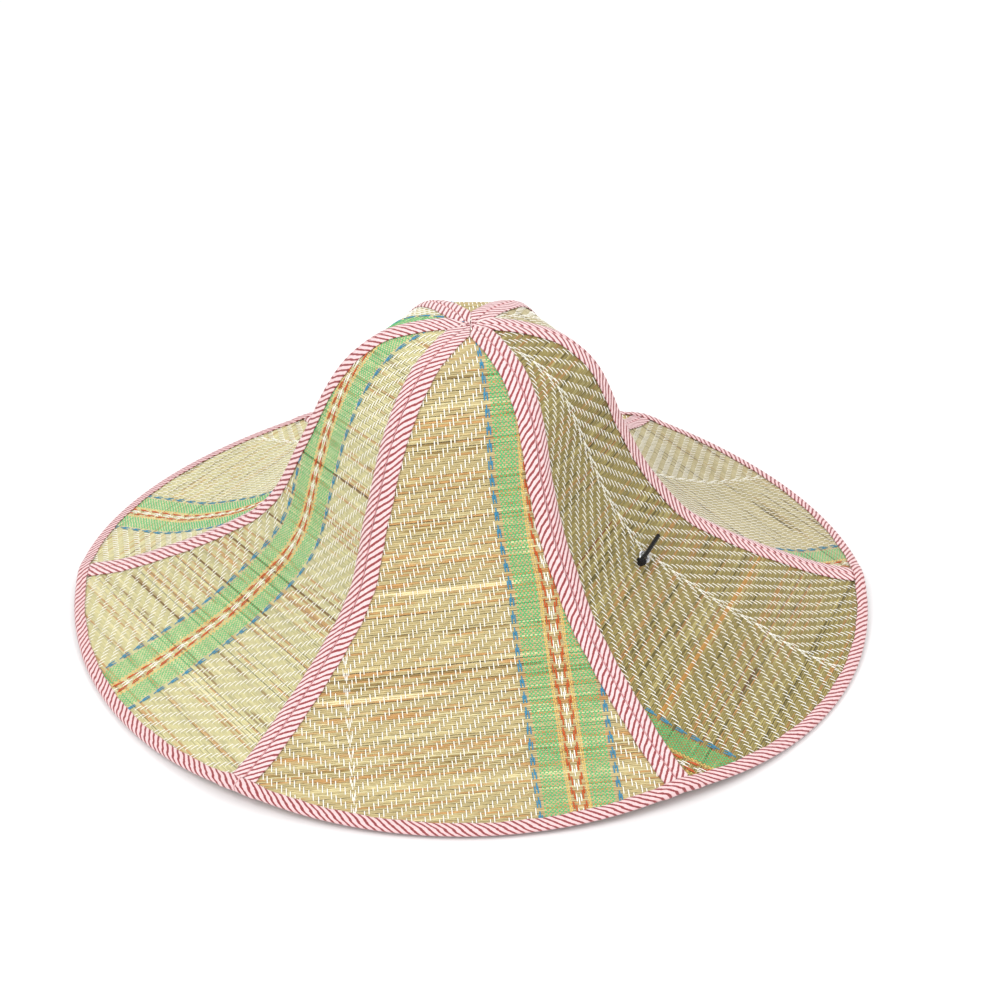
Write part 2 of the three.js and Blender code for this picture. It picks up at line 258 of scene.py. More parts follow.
def shape_crown(points):
    """The hat's points after the crown's unevenness."""
    x, y, z = (np.asarray(points, float) - DRAWING_SHIFT).T
    rise = smooth_step(z, *RISE_HEIGHTS) * (CROWN_RISE + CROWN_TILT * y)
    spread = 1 + CROWN_SPREAD * smooth_step(z, *SPREAD_HEIGHTS)
    lean = WALL_LEAN * smooth_step(z, *LEAN_HEIGHTS) * (1 - smooth_step(z, *LEAN_END_HEIGHTS))
    return np.stack([x * spread - lean, y, z + rise], axis=1) + DRAWING_SHIFT


def make_object(name, materials, points, quads, triangles=(), colours=None, coordinates=None,
                bake=None, slots=None):
    """A smooth-shaded mesh object. coordinates and colours are per point; bake is one texture
    coordinate per corner or per point, kept in a layer named OFBake; slots is one material number per face."""
    quads = np.asarray(quads, np.int32).reshape(-1, 4)
    triangles = np.asarray(triangles, np.int32).reshape(-1, 3)
    corners = np.concatenate([quads.ravel(), triangles.ravel()])
    starts = np.concatenate([
        np.arange(len(quads)) * 4,
        len(quads) * 4 + np.arange(len(triangles)) * 3,
    ]).astype(np.int32)
    mesh = bpy.data.meshes.new(name)
    for material in materials:
        mesh.materials.append(material)
    mesh.vertices.add(len(points))
    mesh.vertices.foreach_set("co", (shape_crown(points) * MM).astype(np.float32).ravel())
    mesh.loops.add(len(corners))
    mesh.loops.foreach_set("vertex_index", corners)
    mesh.polygons.add(len(starts))
    mesh.polygons.foreach_set("loop_start", starts)
    mesh.update(calc_edges=True)
    mesh.polygons.foreach_set("use_smooth", np.ones(len(starts), bool))
    if slots is not None:
        mesh.polygons.foreach_set("material_index", np.asarray(slots, np.int32))
    if colours is not None:
        layer = mesh.color_attributes.new("tone", "FLOAT_COLOR", "POINT")
        layer.data.foreach_set("color", np.c_[colours, np.ones(len(points))].astype(np.float32).ravel())
    if coordinates is not None:
        layer = mesh.attributes.new("place", "FLOAT_VECTOR", "POINT")
        layer.data.foreach_set("vector", coordinates.astype(np.float32).ravel())
    if bake is not None:
        if len(bake) == len(points):
            bake = bake[corners]
        mesh.uv_layers.new(name="OFBake").data.foreach_set("uv", bake.astype(np.float32).ravel())
    obj = bpy.data.objects.new(name, mesh)
    bpy.context.scene.collection.objects.link(obj)
    return obj


def kept_neighbours(keep):
    """Whether the place before and the place after each one in its row is kept."""
    padded = np.pad(keep, ((0, 0), (1, 1)))
    return padded[:, :-2], padded[:, 2:]


def tube_rows(centre, across, up, keep, section):
    """Closed tubes along the rows of a grid of centres, broken wherever keep is False. section is
    the outline in (across, up), anticlockwise seen from the far end. Returns the points, quads,
    triangles, and for each point the row and column it belongs to."""
    keep = keep & np.logical_or(*kept_neighbours(keep))
    before, after = kept_neighbours(keep)
    sides = len(section)
    first = (np.cumsum(keep.ravel()) - 1).reshape(keep.shape) * sides
    ring = section[:, :1] * across[keep][:, None] + section[:, 1:] * up[keep][:, None]
    points = (centre[keep][:, None] + ring).reshape(-1, 3)
    joined = first[keep & after][:, None]
    here = np.arange(sides)
    there = (here + 1) % sides
    walls = np.stack([joined + here, joined + there, joined + there + sides, joined + here + sides], -1)
    fan = np.array([(0, i, i + 1) for i in range(1, sides - 1)])
    near = first[keep & ~before][:, None, None] + fan[None, :, ::-1]
    far = first[keep & ~after][:, None, None] + fan[None]
    rows, columns = (np.repeat(index, sides) for index in np.nonzero(keep))
    triangles = np.concatenate([near.reshape(-1, 3), far.reshape(-1, 3)])
    return points, walls.reshape(-1, 4), triangles, rows, columns


def circle(sides, turn=0.0):
    angle = (np.arange(sides) + turn) / sides * 2 * math.pi
    return np.stack([np.cos(angle), np.sin(angle)], axis=1)


def loft_rings(rings, closed, flip):
    """Quads that join a row of rings, whose first dimension runs along it."""
    count, sides = rings.shape[:2]
    here = np.arange(count if closed else count - 1)[:, None] * sides
    there = (here + sides) % (count * sides)
    a = np.arange(sides)
    b = (a + 1) % sides
    quads = np.stack([here + a, here + b, there + b, there + a], -1).reshape(-1, 4)
    return quads[:, ::-1] if flip else quads


def frames_along(path):
    """Two unit vectors across a path that don't twist: the first x the second points along it.
    The path must not start straight up or down."""
    along = np.gradient(path, axis=0)
    along /= np.linalg.norm(along, axis=1)[:, None]
    across = np.empty_like(along)
    guess = np.cross(along[0], UP)
    for i, direction in enumerate(along):
        guess = guess - direction * (guess @ direction)
        guess /= np.linalg.norm(guess)
        across[i] = guess
    return across, np.cross(along, across)


def spline(points, step):
    """Centripetal Catmull-Rom curve through the points, resampled at an even step."""
    p = np.asarray(points, float)
    p = np.concatenate([[2 * p[0] - p[1]], p, [2 * p[-1] - p[-2]]])
    curve = []
    for a, b, c, d in zip(p, p[1:], p[2:], p[3:]):
        ta, tb, tc = (math.sqrt(np.linalg.norm(y - x)) for x, y in ((a, b), (b, c), (c, d)))
        start = ((b - a) / ta - (c - a) / (ta + tb) + (c - b) / tb) * tb
        end = ((c - b) / tb - (d - b) / (tb + tc) + (d - c) / tc) * tb
        t = np.arange(0, 1, 0.02)[:, None]
        curve.append(
            (2 * t**3 - 3 * t**2 + 1) * b + (t**3 - 2 * t**2 + t) * start
            + (3 * t**2 - 2 * t**3) * c + (t**3 - t**2) * end
        )
    curve = np.concatenate([*curve, p[-2:-1]])
    length = running_total(np.linalg.norm(np.diff(curve, axis=0), axis=1))
    even = np.linspace(0, length[-1], int(length[-1] / step) + 1)
    return np.stack([np.interp(even, length, curve[:, i]) for i in range(3)], axis=1), length[-1]


# -------------------- materials

def colour(text):
    """An sRGB hex colour as linear red, green and blue."""
    value = np.array([int(text[i:i + 2], 16) for i in (0, 2, 4)]) / 255
    return np.where(value <= 0.04045, value / 12.92, ((value + 0.055) / 1.055) ** 2.4)


def rgba(text):
    return (*colour(text), 1.0)


def new_material(name, **values):
    """A material with its Principled shader's own sockets set."""
    made = bpy.data.materials.new(name)
    made.use_nodes = True
    shader = made.node_tree.nodes["Principled BSDF"]
    for socket, value in values.items():
        shader.inputs[socket.replace("_", " ")].default_value = value
    return made, made.node_tree, shader


def node(tree, kind, inputs=(), **settings):
    """A new node; inputs maps a socket's name or number to a value or another node's output."""
    made = tree.nodes.new(kind)
    for key, value in settings.items():
        setattr(made, key, value)
    for key, value in dict(inputs).items():
        if isinstance(value, bpy.types.NodeSocket):
            tree.links.new(value, made.inputs[key])
        else:
            made.inputs[key].default_value = value
    return made


def maths(tree, operation, *values):
    return node(tree, "ShaderNodeMath", dict(enumerate(values)), operation=operation).outputs[0]


def place(tree):
    """The mesh's own coordinates: along and across a reed or a tape, in millimetres."""
    return node(tree, "ShaderNodeAttribute", attribute_name="place").outputs["Vector"]


NOISE_DETAIL = 3.0


def noise(tree, vector, stretch, seed=0.0):
    """Noise between about 0.2 and 0.8, with stretch features per millimetre along each axis."""
    scaled = node(tree, "ShaderNodeVectorMath", {0: vector, 1: stretch}, operation="MULTIPLY").outputs[0]
    moved = node(tree, "ShaderNodeVectorMath", {0: scaled, 1: (seed, seed, seed)}, operation="ADD")
    inputs = {"Vector": moved.outputs[0], "Scale": 1.0, "Detail": NOISE_DETAIL}
    return node(tree, "ShaderNodeTexNoise", inputs).outputs[0]


def between(tree, value, low, high):
    """value, from 0.3 to 0.7, mapped to low .. high."""
    inputs = {"Value": value, "From Min": 0.3, "From Max": 0.7, "To Min": low, "To Max": high}
    return node(tree, "ShaderNodeMapRange", inputs).outputs[0]


def bump(tree, shader, height, strength, depth_mm):
    inputs = {"Height": height, "Strength": strength, "Distance": depth_mm * MM}
    made = node(tree, "ShaderNodeBump", inputs)
    tree.links.new(made.outputs[0], shader.inputs["Normal"])


def multiply(tree, first, second):
    """Two colours multiplied; second may be a plain number's output."""
    mixed = node(tree, "ShaderNodeMix", data_type="RGBA", blend_type="MULTIPLY")
    mixed.inputs[0].default_value = 1.0
    for socket, value in ((6, first), (7, second)):
        tree.links.new(value, mixed.inputs[socket])
    return mixed.outputs[2]


def reed_material():
    """Dried rush: the reed's own tone, fine streaks along it, and a dull waxy shine."""
    made, tree, shader = new_material("reed", Roughness=0.5, Specular_IOR_Level=0.35, Sheen_Weight=0.05)
    where = place(tree)
    tone = node(tree, "ShaderNodeAttribute", attribute_name="tone").outputs["Color"]
    streaks = noise(tree, where, (0.06, 5.0, 0.0))
    blotches = noise(tree, where, (0.12, 0.5, 0.0), seed=7.0)
    shade = maths(tree, "MULTIPLY", between(tree, streaks, 0.86, 1.1), between(tree, blotches, 0.92, 1.06))
    tree.links.new(multiply(tree, tone, shade), shader.inputs["Base Color"])
    tree.links.new(between(tree, streaks, 0.62, 0.42), shader.inputs["Roughness"])
    fibres = noise(tree, where, (0.25, 9.0, 9.0), seed=3.0)
    bump(tree, shader, fibres, 0.6, 0.12)
    return made


def thread_material(name, shade):
    """Cotton thread of one colour, a little fluffy."""
    made, tree, shader = new_material(name, Base_Color=rgba(shade), Sheen_Weight=0.25, Specular_IOR_Level=0.2)
    where = place(tree)
    fluff = noise(tree, where, (4.0, 2.5, 4.0))
    tree.links.new(between(tree, fluff, 0.87, 0.63), shader.inputs["Roughness"])
    bump(tree, shader, fluff, 0.5, 0.1)
    return made


# Where a red stripe begins to show, is full, begins to fade and is gone, as shares of the pitch
STRIPE_EDGES = (0.26, 0.33, 0.67, 0.74)
WEAVE_WAVES = 14.0


def tape_material(name, pitch, white_tint, red_tint):
    """Bias-cut striped cotton: crimson stripes on pinkish white, in a fine plain weave."""
    made, tree, shader = new_material(name, Roughness=0.85, Specular_IOR_Level=0.2, Sheen_Weight=0.3)
    where = place(tree)
    parts = node(tree, "ShaderNodeSeparateXYZ", {0: where}).outputs
    wander = between(tree, noise(tree, where, (0.05, 0.12, 0.0), seed=2.0), -0.18, 0.18)
    ragged = between(tree, noise(tree, where, (2.2, 2.2, 0.0), seed=5.0), -0.05, 0.05)
    turn = maths(tree, "DIVIDE", maths(tree, "ADD", parts[0], parts[1]), pitch)
    turn = maths(tree, "ADD", maths(tree, "ADD", turn, wander), ragged)
    ramp = node(tree, "ShaderNodeValToRGB", {0: maths(tree, "FRACT", turn)})
    stops = ramp.color_ramp.elements
    shows, full, fades, gone = STRIPE_EDGES
    stops[0].position, stops[0].color = shows, rgba(white_tint)
    stops[1].position, stops[1].color = gone, rgba(white_tint)
    for position in (full, fades):
        stops.new(position).color = rgba(red_tint)
    worn = between(tree, noise(tree, where, (0.8, 0.8, 0.0), seed=9.0), 0.9, 1.05)
    tree.links.new(multiply(tree, ramp.outputs[0], worn), shader.inputs["Base Color"])
    weave = [maths(tree, "SINE", maths(tree, "MULTIPLY", part, WEAVE_WAVES)) for part in parts[:2]]
    bump(tree, shader, maths(tree, "MULTIPLY", *weave), 0.35, 0.06)
    return made


def metal_material():
    """Bright metal with fine scratches."""
    made, tree, shader = new_material("eyelet_metal", Base_Color=rgba("D9DBDE"), Metallic=1.0)
    where = node(tree, "ShaderNodeTexCoord").outputs["Object"]
    inputs = {"Vector": where, "Scale": 1800.0, "Detail": NOISE_DETAIL}
    scratches = node(tree, "ShaderNodeTexNoise", inputs).outputs[0]
    tree.links.new(between(tree, scratches, 0.16, 0.34), shader.inputs["Roughness"])
    bump(tree, shader, scratches, 0.15, 0.03)
    return made


def cord_material():
    """Round braided elastic: black, with a shallow diamond braid."""
    made, tree, shader = new_material("cord", Base_Color=rgba("020203"), Specular_IOR_Level=0.22)
    where = place(tree)
    parts = node(tree, "ShaderNodeSeparateXYZ", {0: where}).outputs
    left, right = (
        maths(tree, "SINE", maths(tree, operation, maths(tree, "MULTIPLY", parts[0], 4.2), parts[1]))
        for operation in ("ADD", "SUBTRACT")
    )
    braid = maths(tree, "MAXIMUM", left, right)
    shine = {"Value": braid, "From Min": -1.0, "To Min": 0.3, "To Max": 0.08}
    tree.links.new(node(tree, "ShaderNodeMapRange", shine).outputs[0], shader.inputs["Roughness"])
    bump(tree, shader, braid, 0.6, 0.2)
    return made


# -------------------- chin cord, knots

BRAID_TURNS = 4.0
CORD_SIDES = 12
KNOT_SIDES = 14
STITCH_SIDES = 6
CORD_STEP = 0.8
KNOT_STEP = 0.35
CORD_CLEARANCE = 0.6


def tube(name, path, radii, material, sides):
    """A closed tube along a path, with braid coordinates: along it in mm, and round it."""
    across, up = frames_along(path)
    radii = np.broadcast_to(np.asarray(radii, float), len(path))[:, None]
    whole = np.ones((1, len(path)), bool)
    points, quads, triangles, _, columns = tube_rows(
        path[None], (across * radii)[None], (up * radii)[None], whole, circle(sides),
    )
    gone = running_total(np.linalg.norm(np.diff(path, axis=0), axis=1))
    turn = np.tile(np.arange(sides) / sides * 2 * math.pi * BRAID_TURNS, len(path))
    coordinates = np.stack([gone[columns], turn, np.zeros(len(points))], axis=1)
    return make_object(name, [material], points, quads, triangles, coordinates=coordinates)


CORD = cord_material()

# The cord in an eyelet's frame, and where it lies: x, y and height above its lowest
CORD_IN_EYELET = [(0, 0, 2.4), (0, 0, -4), (0, 0, -10)]
CORD_LYING = [
    (87, -60, 9), (84, -55, 1.5), (79, -46, 0), (72, -24, 0), (84, 8, 0), (58, 34, 0), (8, 8, 0),
    (-20, -26, 0), (-62, -26, 0), (-78, 10, 0), (-78, 40, 0), (-84, 52, 1.5), (-87, 59, 9),
]


def cord_path():
    """From inside the right eyelet down to the surface the hat stands on, in a loose S across it,
    and up to the left eyelet."""
    lift = np.array([0, 0, CORD_CLEARANCE + CORD_RADIUS])
    return spline([
        *in_eyelet(EYELETS["right"], CORD_IN_EYELET),
        *(np.array(CORD_LYING) + lift + DRAWING_SHIFT * (1, 1, 0)),
        *in_eyelet(EYELETS["left"], CORD_IN_EYELET[::-1]),
    ], CORD_STEP)


def make_cord():
    path, length = cord_path()
    cord = tube("cord", path, CORD_RADIUS, CORD, CORD_SIDES)
    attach(cord, "hat")
    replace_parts(cord, "chin_cord")


make_cord()

KNOT_CENTRE = np.array([-7.5, 0, 3.95])
KNOT_SIZE = np.array([2.7, 1.8, 1.25])
KNOT_TURNS = (0.25, 2.85)
KNOT_DIPS = 1.5
KNOT_DIP = 0.38
KNOT_RISE = 0.95
TAIL_PLACES = (3.4, 7, 11, 15, 18.5, 22, 25)
TAIL_LIFT = math.radians(3)
TAIL_TURN = math.radians(9)
TAIL_END_SHARE = 0.8


def knot_path():
    """The cord comes up out of the eyelet, winds over and round itself and ends in its tail."""
    turn = np.linspace(*KNOT_TURNS, 60) * 2 * math.pi
    radius = 1 - KNOT_DIP + KNOT_DIP * np.cos(KNOT_DIPS * turn)
    height = KNOT_RISE * np.sin(KNOT_DIPS * turn)
    wrap = np.stack([radius * np.cos(turn), radius * np.sin(turn), height], axis=1)
    wrap = wrap * KNOT_SIZE + KNOT_CENTRE
    level = math.cos(TAIL_LIFT)
    tip = np.array([level * math.cos(TAIL_TURN), level * math.sin(TAIL_TURN), math.sin(TAIL_LIFT)])
    tail = [KNOT_CENTRE + tip * at for at in TAIL_PLACES]
    return spline([(0, 0, 1.2), (-1.2, 0.1, 2.6), *wrap[::4], *tail], KNOT_STEP)[0]


def make_knot(side, gore):
    path = knot_path()
    radii = np.full(len(path), CORD_RADIUS)
    radii[-1] = CORD_RADIUS * TAIL_END_SHARE
    knot = tube(f"knot_{side}", in_eyelet(gore, path), radii, CORD, KNOT_SIDES)
    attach(knot, f"knot_{side}")
    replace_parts(knot, f"cord_knot_{side}")


for side_name, eyelet_gore in EYELETS.items():
    make_knot(side_name, eyelet_gore)


# -------------------- eyelets

# Radius and height in the eyelet's frame. The mat lies between heights -0.8 and 0.8.
RING_PROFILE = [
    (1.95, 0.2), (1.98, 1.1), (2.2, 1.5), (2.6, 1.68), (3.1, 1.66), (3.6, 1.5), (4.0, 1.22),
    (4.1, 1.02), (3.9, 0.95), (2.4, 1.02), (2.4, -1.9), (3.4, -1.88), (3.45, -2.15), (3.1, -2.35),
    (2.5, -2.38), (2.1, -2.2), (1.95, -1.8),
]
WASHER_PROFILE = [(2.75, -1.12), (4.0, -1.1), (4.12, -1.28), (4.0, -1.5), (2.8, -1.62), (2.7, -1.3)]
RING_SEGMENTS = 72
METAL = metal_material()


def turned(name, profile, gore):
    """A ring turned from a closed profile of radius and height about an eyelet's axis."""
    radius, height = np.array(profile).T
    rings = np.empty((RING_SEGMENTS, len(radius), 3))
    rings[..., :2] = circle(RING_SEGMENTS)[:, None] * radius[:, None]
    rings[..., 2] = height
    anticlockwise = radius @ np.roll(height, -1) > height @ np.roll(radius, -1)
    quads = loft_rings(rings, True, anticlockwise)
    obj = make_object(name, [METAL], in_eyelet(gore, rings.reshape(-1, 3)), quads)
    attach(obj, "hat")
    return obj


for side_name, eyelet_gore in EYELETS.items():
    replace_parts(turned(f"ring_{side_name}", RING_PROFILE, eyelet_gore), f"eyelet_{side_name}")
    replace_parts(turned(f"washer_{side_name}", WASHER_PROFILE, eyelet_gore), f"eyelet_washer_{side_name}")


# -------------------- mats

# Picks are laid between these distances down the mat, and threads up to this far past the sides
# of its rim. What lies off the mat is cut away.
MAT_START = -20
MAT_END = 345
MAT_MARGIN = 50
MAT_TIP = 4
MAT_RIM_INSET = 1.6
MAT_EYELET_INSET = 0.35
# From one reed to the next, from one thread to the next, and the picks of the twill's repeat,
# of a thread's float and of the step from one thread's float to the next one's
PICK = 1.19
COLUMN = 2.36
REPEAT = 8
FLOAT = 4
STEP = 2
REED_SIDES = 6
REED_HALF_HEIGHT = 0.36
REED_SWAY = 0.13
STRIPE_SWAY_SHARE = 0.25
REED_DRIFT = 0.07
THREAD_SIDES = 5
THREAD_HEIGHT = 0.54
FLOAT_RISE = 1.12
FLOAT_END_SHIFT = 0.25
THREAD_HALF_HEIGHT = 0.2
THREAD_INSET = 0.6
SIDE_INSET_SHARE = 0.3
THREAD_HALF_WIDTHS = {
    "white": 0.32, "fine": 0.24, "green": 0.42, "yellow": 0.38, "orange": 0.4, "blue": 0.38,
}
THREAD_SWAY = 0.06
THREAD_DRIFT = 0.2
THREAD_DRIFT_LENGTHS = (60, 140)
STRIPE_HALF_WIDTH = 22.8
CHEVRON_HALF_WIDTH = 0.9 * COLUMN
CROWD_SPACING = 0.68
WANDER_REACH = 55
# Least and most of a reed's width and height and of a thread's width, as shares of the usual
REED_WIDTHS = (0.94, 1.12)
REED_HEIGHTS = (0.85, 1.1)
THREAD_WIDTHS = (0.88, 1.12)
# How often a reed's second tone is the common, pale, warm or dark one, how long the patches of
# each are and how sharply they part, and how much darker or lighter a whole reed can be
SECOND_TONE_ODDS = (0.78, 0.08, 0.12, 0.02)
PATCH_LENGTHS = (70, 33, 140)
PATCH_CONTRAST = 1.6
REED_SHADES = (0.92, 1.07)

THREAD_TONES = {
    "fine": "FFFDF4", "white": "FFFDF4", "green": "52C47A", "yellow": "EACB70", "orange": "C8581F",
    "blue": "3C8DB0",
}
THREADS = {shade: thread_material(f"thread_{shade}", tone) for shade, tone in THREAD_TONES.items()}
REED = reed_material()

# For each gore: how far its reeds are turned, where the coloured stripe and the white chevron run
# (distance along the reeds from the gore's middle line), which of the two is the peak of the
# zigzag, the reeds' common, pale, warm and dark tones and how often the last three come, and for
# each tone the reeds that stand out: distance down the mat, from, to. wander says how far the
# threads along one of the two lines stray sideways at a distance down the mat; grain is how much a
# reed's tone changes from one thread to the next, and thread_share how thick the threads are.
MATS = {
    "front": dict(
        wander=("stripe", [(20, -4.5), (60, -3.7), (120, -1.7), (200, -1), (240, 0)]),
        turn=6.7, stripe=27.3, chevron=-89, peak="stripe",
        tones=("C4B381", "DBCE9C", "C5985E", "997F4A"), shares=(0.10, 0.15, 0.04),
        marked={
            "F0DEAC": [(161, -74, 12), (162.2, -60, 12), (221, -106, -36), (222.2, -100, -50)],
            "967C48": [(209, -100, 20)],
        },
    ),
    "front_right": dict(
        wander=("chevron", [(50, -7), (100, -3), (170, -3), (190, 1), (230, 5), (255, 7), (290, 2)]),
        turn=6.0, stripe=-130.3, chevron=-5, peak="chevron",
        tones=("998A50", "B3A56A", "AC8149", "6C602F"), shares=(0.14, 0.12, 0.1), grain=0.1,
        marked={
            "BE8C44": [(235, -110, 80)], "B88740": [(236.2, -106, 40)], "AE8448": [(193, 0, 50)],
            "845428": [(150, -62, -14)], "6A5E2E": [(215, -90, -40)], "6E4A28": [(267, -62, -38)],
        },
    ),
    "back_right": dict(
        turn=2.9, stripe=-118, chevron=0, peak="chevron",
        tones=("BAAE85", "C6BC98", "AC9365", "766846"), shares=(0.08, 0.04, 0.1), thread_share=0.7,
        marked={"746644": [(291, -90, -20), (276, -70, -30)]},
    ),
    "back": dict(
        turn=4.0, stripe=30, chevron=-87, peak="stripe",
        tones=("BDAC76", "D2C28C", "B98C56", "836E3D"), shares=(0.1, 0.06, 0.06),
    ),
    "back_left": dict(
        wander=("stripe", [(30, -35), (60, -29), (110, -12), (160, 0)]),
        turn=-1.8, stripe=51, chevron=-66, peak="chevron",
        tones=("D2CB9B", "E0D8AC", "C7AD76", "93835A"), shares=(0.08, 0.05, 0.07),
    ),
    "front_left": dict(
        wander=("stripe", [(45, 7), (80, 3), (105, -0.5), (170, 2), (230, 2), (260, -1), (300, 2)]),
        turn=6.6, stripe=-37, chevron=80, peak="chevron",
        tones=("D0C997", "DED6AA", "C6A06C", "A0885A"), shares=(0.08, 0.05, 0.015),
        marked={
            "C29D6A": [(92, -50, 24), (148, -72, 20), (198, -8, 44), (222, -110, 52),
                       (228, -110, -50), (240, -120, -40)],
            "866A3E": [(122.5, -62, 24), (168, -84, -56), (193, -90, 40), (215, -112, -8),
                       (250, -124, -58)],
        },
    ),
}


def stripe_columns(rise):
    """The stripe's coloured threads: distance from its middle, colour, phase and float in picks.
    Plain weave has no phase, and 0 or 1 for the pick it starts on. rise is 1 or -1 for the way
    that the small steps lead."""
    columns = [(0, "white", 0, FLOAT)]
    for side in (-1, 1):
        columns += [
            (side * 1.1, "white", -STEP * rise, FLOAT),
            (side * 2.3, "orange", -2 * STEP * rise, FLOAT + 1),
            (side * 3.3, "orange", -3 * STEP * rise, FLOAT),
        ]
        columns += [(side * offset, "yellow", None, start) for start, offset in enumerate((4.6, 5.6))]
        columns += [(side * offset, "green", None, start % 2)
                    for start, offset in enumerate(np.arange(6.8, 18.4, 1.14))]
        columns += [(side * (21.3 + offset), "blue", phase, FLOAT)
                    for offset, phase in ((-0.85, 0), (0, -STEP * rise), (0.85, 0))]
    return columns


def chevron_columns(rise):
    """The white threads that crowd together where the zigzag turns. rise is 1 where the rows of
    floats fall away on both sides, -1 where they climb."""
    return [(CROWD_SPACING * i, "fine", rise * STEP * (abs(i) - 2), FLOAT) for i in range(-2, 3)]


